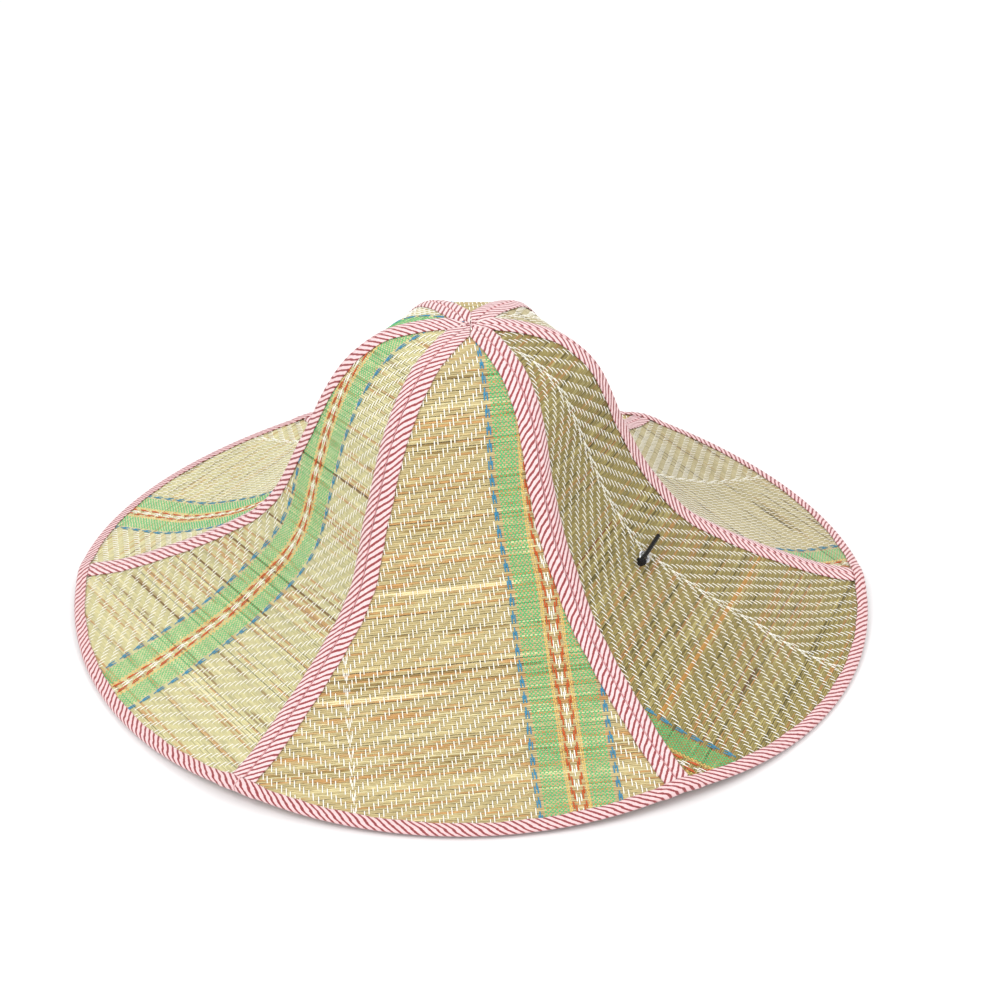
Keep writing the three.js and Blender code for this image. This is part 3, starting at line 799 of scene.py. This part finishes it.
class Weave:
    """A mat's thread columns and picks, in coordinates turned so that x runs along the reeds."""

    def __init__(self, gore, turn, stripe, chevron, peak, tones, shares, marked=None,
                 wander=("stripe", [(0, 0)]), grain=0.055, thread_share=1.0):
        self.gore = gore
        self.random = np.random.default_rng(GORES.index(gore) + 11)
        self.turn = math.radians(turn)
        self.tones = np.array([colour(tone) for tone in tones])
        self.shares = shares
        self.marked = marked or {}
        self.grain = grain
        self.thread_share = thread_share
        line, steps = wander
        self.wander_line = stripe if line == "stripe" else chevron
        self.wander_steps = np.array(steps, float).T
        self.stripe = stripe
        self.peak, self.valley = (stripe, chevron) if peak == "stripe" else (chevron, stripe)
        self.span = abs(self.valley - self.peak)
        reach = gore.fold(RIM_RADIUS) + MAT_MARGIN
        self.picks = np.arange(int((MAT_END - MAT_START) / PICK))
        self.y = MAT_START + (self.picks + 0.5) * PICK
        count = int(reach / COLUMN)
        regular = self.peak + COLUMN * np.arange(-2 * count, 2 * count + 1)
        self.reed_x = regular[abs(regular) < reach]
        self.columns = []
        for x in self.reed_x:
            if min(abs(x - stripe) - STRIPE_HALF_WIDTH, abs(x - chevron) - CHEVRON_HALF_WIDTH) > 0:
                self.columns.append((x, "white", self.phase(x), FLOAT))
        rise = 1 if peak == "stripe" else -1
        self.columns += [(stripe + x, *rest) for x, *rest in stripe_columns(rise)]
        base = self.phase(chevron)
        self.columns += [(chevron + x, shade, base + step, over)
                         for x, shade, step, over in chevron_columns(-rise)]

    def phase(self, x):
        """The pick where a float starts: it falls away from the peak line by two picks a column."""
        far = abs(x - self.peak) % (2 * self.span)
        return STEP * round((self.span - abs(self.span - far)) / COLUMN)

    def over(self, phase, length):
        """Which picks a thread passes over."""
        if phase is None:
            return self.picks % 2 == length
        return (self.picks - phase) % REPEAT < length

    def surface(self, x, y, n, inset):
        """Point, directions along and across the reeds and outwards, and whether it is on the mat."""
        gore = self.gore
        near = np.exp(-((x - self.wander_line) / WANDER_REACH) ** 2)
        x = x + near * np.interp(y, *self.wander_steps)
        c, s = math.cos(self.turn), math.sin(self.turn)
        u, v = x * c + y * s, y * c - x * s
        r = gore.seam_radius(v)
        down, outwards = gore.directions(r)
        along = c * gore.side - s * down
        across = s * gore.side + c * down
        phi = gore.centre + np.arctan2(u, r * math.cos(gore.half))
        out_here = np.hypot(u, r * math.cos(gore.half))
        origin, _ = eyelet_frame(gore)
        points = gore.at(r, u, n)
        keep = (v > MAT_TIP) & (abs(u) < gore.fold(r) - inset * SIDE_INSET_SHARE)
        keep &= out_here < gore.rim_radius(phi) - MAT_RIM_INSET - inset
        if gore in EYELETS.values():
            clear = np.linalg.norm(points - origin, axis=-1) > EYELET_BARREL_RADIUS + MAT_EYELET_INSET
            keep &= clear
        return points, along, across, outwards, keep

    def reed_tones(self, x, y):
        """A colour for every ring of every reed."""
        random = self.random
        kinds = random.choice(4, len(y), p=(1 - sum(self.shares), *self.shares))
        second = random.choice(4, len(y), p=SECOND_TONE_ODDS)
        places = np.arange(len(x)) * COLUMN
        waves = sum(
            np.sin(places[None] * 2 * math.pi / length * random.uniform(0.7, 1.4, (len(y), 1))
                   + random.uniform(0, 2 * math.pi, (len(y), 1)))
            for length in PATCH_LENGTHS
        ) / len(PATCH_LENGTHS)
        blend = np.clip(0.5 + PATCH_CONTRAST * waves, 0, 1)[..., None]
        tones = self.tones[kinds][:, None] * blend + self.tones[second][:, None] * (1 - blend)
        tones = tones * random.uniform(*REED_SHADES, (len(y), 1, 1))
        tones = tones * (1 + self.grain * random.standard_normal((len(y), len(x), 1)))
        for tone, reeds in self.marked.items():
            for down, start, end in reeds:
                tones[np.argmin(abs(y - down)), (x > start) & (x < end)] = colour(tone)
        return np.clip(tones, 0.01, 0.95)

    def make_reeds(self):
        """One flattened tube for each pick, bent down under the threads' floats."""
        x, y = self.reed_x, self.y
        random = self.random
        tops = np.zeros((len(y), len(x)))
        for j, place_x in enumerate(x):
            off_stripe = abs(place_x - self.stripe) > STRIPE_HALF_WIDTH
            floating = self.over(self.phase(place_x), FLOAT)
            sway = REED_SWAY * (1 if off_stripe else STRIPE_SWAY_SHARE)
            tops[:, j] = np.where(floating, -sway, sway)
        width = PICK / 2 * random.uniform(*REED_WIDTHS, (len(y), 1))
        height = REED_HALF_HEIGHT * random.uniform(*REED_HEIGHTS, (len(y), 1))
        drift = REED_DRIFT * PICK * random.standard_normal((len(y), 1))
        grid_x, grid_y = np.meshgrid(x, y)
        centre, _, across, outwards, keep = self.surface(grid_x, grid_y + drift, tops, 0.0)
        section = circle(REED_SIDES)
        points, quads, triangles, rows, columns = tube_rows(
            centre, -across * width[..., None], outwards * height[..., None], keep, section,
        )
        tones = self.reed_tones(x, y)[rows, columns]
        sideways = np.tile(section[:, 0] * PICK / 2, len(points) // REED_SIDES)
        lift = np.tile(section[:, 1], len(points) // REED_SIDES)
        coordinates = np.stack([x[columns], y[rows] - sideways, lift], axis=1)
        low, high = coordinates[:, :2].min(0), coordinates[:, :2].max(0)
        obj = make_object(
            f"reeds_{self.gore.name}", [REED], points, quads, triangles, colours=tones,
            coordinates=coordinates, bake=within((coordinates[:, :2] - low) / (high - low), END_MARGIN),
        )
        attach(obj, "hat")
        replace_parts(obj, f"gore_{self.gore.name}")

    def make_threads(self, name, shades):
        """One tube for each thread column of these colours, over and under the reeds."""
        chosen = [column for column in self.columns if column[1] in shades]
        random = self.random
        x = np.array([column[0] for column in chosen])
        over = np.stack([self.over(phase, length) for _, _, phase, length in chosen])
        last, first = (np.roll(over, step, 1) != over for step in (-1, 1))
        height = np.where(over, 1, -1) * np.where(last | first, THREAD_HEIGHT, THREAD_HEIGHT * FLOAT_RISE)
        low, high = zip(THREAD_DRIFT_LENGTHS, (0, 2 * math.pi))
        wave_length, start = random.uniform(low, high, (len(x), 2)).T[..., None]
        drift = THREAD_DRIFT * np.sin(self.y / wave_length * 2 * math.pi + start)
        sway = THREAD_SWAY * np.sin(np.cumsum(random.uniform(0.2, 0.9, over.shape), 1))
        spread = FLOAT_END_SHIFT * last - FLOAT_END_SHIFT * first
        grid_x = x[:, None] + drift + sway
        grid_y = self.y[None] + spread * np.array([column[3] > 1 for column in chosen])[:, None]
        centre, along, _, outwards, keep = self.surface(grid_x, grid_y, height, THREAD_INSET)
        widths = self.thread_share * np.array([THREAD_HALF_WIDTHS[column[1]] for column in chosen])[:, None]
        width = (widths * random.uniform(*THREAD_WIDTHS, over.shape))[..., None]
        section = circle(THREAD_SIDES, turn=0.25)
        points, quads, triangles, rows, columns = tube_rows(
            centre, along * width, outwards * THREAD_HALF_HEIGHT, keep, section,
        )
        coordinates = np.stack([grid_x[rows, columns], grid_y[rows, columns], height[rows, columns]], axis=1)
        kinds = np.array([shades.index(column[1]) for column in chosen])
        owners = np.concatenate([rows[quads[:, 0]], rows[triangles[:, 0]]])
        obj = make_object(
            name, [THREADS[shade] for shade in shades], points, quads, triangles,
            coordinates=coordinates, slots=kinds[owners],
        )
        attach(obj, "hat")


for mat_gore in GORES:
    weave = Weave(mat_gore, **MATS[mat_gore.name])
    weave.make_reeds()
    weave.make_threads(f"threads_{mat_gore.name}", ("white", "fine"))
    weave.make_threads(f"stripe_{mat_gore.name}", ("green", "yellow", "orange", "blue"))


# -------------------- tapes

TAPE_START = 0.4
TIP_LENGTH = 20
TIP_STEP = 0.7
TAPE_STEP = 0.9
TAPE_PRESSED = 0.12
SIDE_STRIPE_PITCH = 4.3
RIM_STRIPE_PITCH = 4.5
SIDE_STRIPE_RISE = math.tan(math.radians(49))
RIM_STRIPE_RISE = math.tan(math.radians(55))
SIDE_TAPE = tape_material("side_tape", SIDE_STRIPE_PITCH, "F1D2D3", "964648")
RIM_TAPE = tape_material("rim_tape", RIM_STRIPE_PITCH, "EECACB", "924244")

# How far a tape's free edge is pressed down, over what width, and how square its fold is
PRESS_DEPTH = 0.22
PRESS_WIDTH = 2.2
FOLD_POWER = 0.7
SIDE_BAKE_ROWS = 4
RIM_BAKE_ROWS = 8
# The waves in a tape's free edge: how far and how long
SIDE_EDGE_WAVES = ((0.16, 23), (0.1, 9.1), (0.07, 5.3))
RIM_EDGE_WAVES = ((0.2, 31), (0.12, 11.3), (0.08, 6.1))
# Where a side tape tapers to the apex: the least share of its width and of its height, and how
# near its fold comes to the gore's middle
LEAST_WIDTH = 0.04
LEAST_HEIGHT = 0.35
LEAST_FOLD = 0.15


def folded_tape(nose, inner, width):
    """The U of a folded tape in (distance back from the fold's centre, height), with for each
    corner its distance round the tape from the fold's crest. Free edges press on the mat."""
    outer = inner + TAPE_THICKNESS
    flat = np.linspace(-(width - nose), 0, 9)
    press = np.clip((-flat - (width - nose) + PRESS_WIDTH) / PRESS_WIDTH, 0, 1) ** 2 * PRESS_DEPTH
    turn = np.radians(np.arange(75, -76, -15))
    quarter = (nose + outer) / 2 * math.pi / 2
    face = np.stack([flat, outer - press, flat - quarter], axis=1)
    crest = np.stack([
        nose * np.cos(turn) ** FOLD_POWER,
        outer * np.sign(turn) * abs(np.sin(turn)) ** FOLD_POWER,
        -quarter * turn / (math.pi / 2),
    ], axis=1)
    back = face[::-1] * (1, -1, -1)
    inside = np.stack([flat[::4], inner - press[::4], flat[::4] - quarter], axis=1)
    tip = [[nose - TAPE_THICKNESS, 0, 0]]
    return np.concatenate([face, crest, back, inside * (1, -1, -1), tip, inside[::-1]])


def wound_bake(along, across, length, limits, rows_count):
    """Texture coordinates that cut a strip of this length into rows. along and across are given
    for each corner of each face, and limits are the least and the most across. Each face stays
    whole in one row."""
    low, high = limits
    row = np.floor(along.mean(1, keepdims=True) / length * rows_count)
    u = within(along / length * rows_count - row, END_MARGIN)
    v = (row + within((across - low) / (high - low), SIDE_MARGIN)) / rows_count
    return np.stack([u, v], -1).reshape(-1, 2)


# An inner corner of a folded tape's outline, and the first and last outer corners that face it.
END_FANS = [(35, 0, 4), (34, 4, 8), (33, 8, 12), (32, 12, 16), (31, 16, 24), (30, 24, 28)]


def tape_ends(count, sides, flip):
    """Triangles that close the two ends of a folded tape."""
    fans = []
    for hub, first, last in END_FANS:
        fans += [(hub, corner, corner + 1) for corner in range(first, last)]
        fans.append((hub, last, hub - 1))
    near, far = np.array(fans)[:, ::-1], np.array(fans) + (count - 1) * sides
    triangles = np.concatenate([near, far])
    return triangles[:, ::-1] if flip else triangles


def side_tape(gore, sign, letter, seed):
    """The tape folded over one side edge of a gore, from the apex to under the rim tape."""
    random = np.random.default_rng(seed)
    end = (gore.rim_start if sign < 0 else gore.rim_end) - RIM_NOSE - 1
    r = np.concatenate([
        np.arange(TAPE_START, TIP_LENGTH, TIP_STEP),
        np.arange(TIP_LENGTH, end, TAPE_STEP),
    ])
    s = seam_length(r)
    skew = np.arctan2(math.sin(gore.half), np.hypot(math.cos(gore.half), seam_slope(r)))[:, None]
    outline = folded_tape(TAPE_OUTER, TAPE_INNER - TAPE_PRESSED, SIDE_TAPE_WIDTH)
    squeeze = np.maximum(gore.taper(r), LEAST_WIDTH)
    fold = np.maximum(gore.fold(r), LEAST_FOLD)
    edge = wobble(random, s, SIDE_EDGE_WAVES)
    reach = np.where(outline[:, 0] < 0, outline[:, 0] / outline[0, 0], 0)
    back = outline[None, :, 0] * squeeze[:, None] - edge[:, None] * reach[None] * squeeze[:, None]
    height = np.broadcast_to(outline[None, :, 1], back.shape) * np.maximum(squeeze, LEAST_HEIGHT)[:, None]
    rings = gore.at(r[:, None], sign * (fold[:, None] + back), height)
    over = outline[None, :, 2] * squeeze[:, None]
    quads = loft_rings(rings, False, sign > 0)
    coordinates = np.stack([
        s[:, None] - abs(over) * np.sin(skew) + random.uniform(0, SIDE_STRIPE_PITCH),
        sign * over * np.cos(skew) * SIDE_STRIPE_RISE,
        np.zeros(back.shape),
    ], axis=-1).reshape(-1, 3)
    ends = tape_ends(len(r), len(outline), sign > 0)
    place_along, place_across = np.repeat(s, len(outline)), coordinates[:, 1]
    limits = place_across.min(), place_across.max()
    bake = np.concatenate([
        wound_bake(place_along[faces], place_across[faces], s[-1] + 1e-3, limits, SIDE_BAKE_ROWS)
        for faces in (quads, ends)
    ])
    obj = make_object(
        f"tape_{gore.name}_{letter}", [SIDE_TAPE], rings.reshape(-1, 3), quads, ends,
        coordinates=coordinates, bake=bake,
    )
    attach(obj, "hat")
    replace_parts(obj, f"side_tape_{gore.name}_{letter}")


for number, tape_gore in enumerate(GORES):
    side_tape(tape_gore, -1, "a", 40 + number)
    side_tape(tape_gore, 1, "b", 60 + number)

# Near a seam the rim tape is lifted over the side tapes' ends, and its edge's waves die away.
SEAM_LAP = SIDE_TAPE_WIDTH + 1.5
LAP_FADE = 5
LAP_LIFT = 0.78
WAVE_FADE = 6
RIM_STEP = 1.0


def rim_ring():
    """The tape folded over the whole rim, lifted where it covers the ends of the side tapes."""
    random = np.random.default_rng(5)
    rings, along = [], []
    flat = folded_tape(RIM_NOSE, TAPE_INNER - TAPE_PRESSED, RIM_TAPE_WIDTH)
    for gore in GORES:
        count = int((gore.end - gore.start) * RIM_RADIUS / RIM_STEP)
        phi = gore.start + (gore.end - gore.start) * np.arange(count) / count
        off = np.minimum(phi - gore.start, gore.end - phi) * RIM_RADIUS
        swell = LAP_LIFT * (1 - smooth_step(off, SEAM_LAP, SEAM_LAP + LAP_FADE))
        lift = np.where(flat[:, 1] > 0, 1, -1) * (abs(flat[:, 1]) > 0.1)
        height = flat[None, :, 1] + lift[None] * swell[:, None]
        wander = wobble(random, phi * RIM_RADIUS, RIM_EDGE_WAVES)
        wander *= np.clip(off / WAVE_FADE, 0, 1)
        reach = np.where(flat[:, 0] < 0, flat[:, 0] / flat[0, 0], 0)
        radius = (gore.rim_radius(phi) - RIM_NOSE)[:, None] + flat[None, :, 0] + wander[:, None] * reach[None]
        turn = phi[:, None]
        z, slope = gore.level(turn, radius)
        z = z + height * np.hypot(1, slope)
        rings.append(np.stack([radius * np.sin(turn), -radius * np.cos(turn), z], axis=-1) + DRAWING_SHIFT)
        along.append((phi - GORES[0].start) * RIM_RADIUS)
    return np.concatenate(rings), np.concatenate(along), flat


def rim_tape():
    rings, along, flat = rim_ring()
    quads = loft_rings(rings, True, False)
    s = np.repeat(along, len(flat))
    across = np.tile(-flat[:, 2] * RIM_STRIPE_RISE, len(along))
    coordinates = np.stack([s, across, np.zeros(len(s))], axis=1)
    corners = s[quads]
    past_start = corners < corners.max(1, keepdims=True) - s.max() / 2
    corners = np.where(past_start, corners + s.max() + RIM_STEP, corners)
    limits = across.min(), across.max()
    bake = wound_bake(corners, across[quads], s.max() + 2 * RIM_STEP, limits, RIM_BAKE_ROWS)
    obj = make_object(
        "rim_binding", [RIM_TAPE], rings.reshape(-1, 3), quads, coordinates=coordinates, bake=bake,
    )
    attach(obj, "hat")
    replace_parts(obj, "rim_tape")


rim_tape()


# -------------------- seams

SEAM_NAMES = ["front_2", "right", "back_2", "back_1", "left", "front_1"]
SEAM_THREAD_RADIUS = 0.24
STITCH_START = 17
STITCH_END_GAP = 1.5
STITCH_STEP = 0.35
STITCH_PITCH = 3.4
STITCH_HEIGHT = 0.95
STITCH_WAVE = 0.2
STITCH_SWAY = 0.15
SEAM_THREAD = thread_material("thread_seam", "DDA0A2")


def seam_stitches(gore, name):
    """The thread that holds two side tapes edge to edge, winding along the groove."""
    out, side = out_and_side(gore.end)
    r = np.arange(STITCH_START, gore.rim_end - RIM_TAPE_WIDTH - STITCH_END_GAP, STITCH_STEP)
    slope = seam_slope(r)[:, None]
    normal = (UP - slope * out) / np.hypot(1, slope)
    beta = np.arctan(-seam_slope(r))
    back = (r * math.sin(gore.half) - gore.fold(r)) * math.sin(gore.half) * np.sin(beta)
    s = seam_length(r)
    turn = s / STITCH_PITCH * 2 * math.pi
    middle = r[:, None] * out + seam_height(r)[:, None] * UP + DRAWING_SHIFT
    lift = STITCH_HEIGHT - back + STITCH_WAVE * np.cos(turn)
    sway = STITCH_SWAY * np.sin(turn / 2)
    path = middle + normal * lift[:, None] + side * sway[:, None]
    obj = tube(f"stitches_{name}", path, SEAM_THREAD_RADIUS, SEAM_THREAD, STITCH_SIDES)
    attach(obj, "hat")
    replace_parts(obj, f"seam_thread_{name}")


for seam_gore, seam_name in zip(GORES, SEAM_NAMES):
    seam_stitches(seam_gore, seam_name)


# -------------------- stage

FLOOR_SIZE = 60
FLOOR_HEIGHT = -0.0005
SKY_STRENGTH = 0.62
# Name, place, size and power
LIGHTS = (
    ("key", (-1.1, -1.3, 1.9), 1.6, 34),
    ("fill", (1.1, -0.9, 1.6), 1.8, 17),
    ("back", (0.2, 1.6, 1.6), 1.8, 14),
)


def make_stage():
    """A plain pale floor and plain soft light, brightest from the upper left."""
    bpy.ops.mesh.primitive_plane_add(size=FLOOR_SIZE, location=(0, 0, FLOOR_HEIGHT))
    floor = bpy.context.object
    floor.name = "floor"
    made, _, _ = new_material("floor", Base_Color=(0.92, 0.92, 0.92, 1), Roughness=0.9)
    floor.data.materials.append(made)
    world = bpy.data.worlds.new("world")
    bpy.context.scene.world = world
    world.use_nodes = True
    background = world.node_tree.nodes["Background"]
    background.inputs["Color"].default_value = (1, 1, 1, 1)
    background.inputs["Strength"].default_value = SKY_STRENGTH
    for name, place_at, size, power in LIGHTS:
        data = bpy.data.lights.new(name, "AREA")
        data.size = size
        data.energy = power
        light = bpy.data.objects.new(name, data)
        light.location = place_at
        x, y, z = place_at
        light.rotation_euler = (math.atan2(math.hypot(x, y), z), 0, math.atan2(-x, y) + math.pi)
        bpy.context.scene.collection.objects.link(light)


make_stage()
bpy.context.scene.view_settings.view_transform = "Standard"
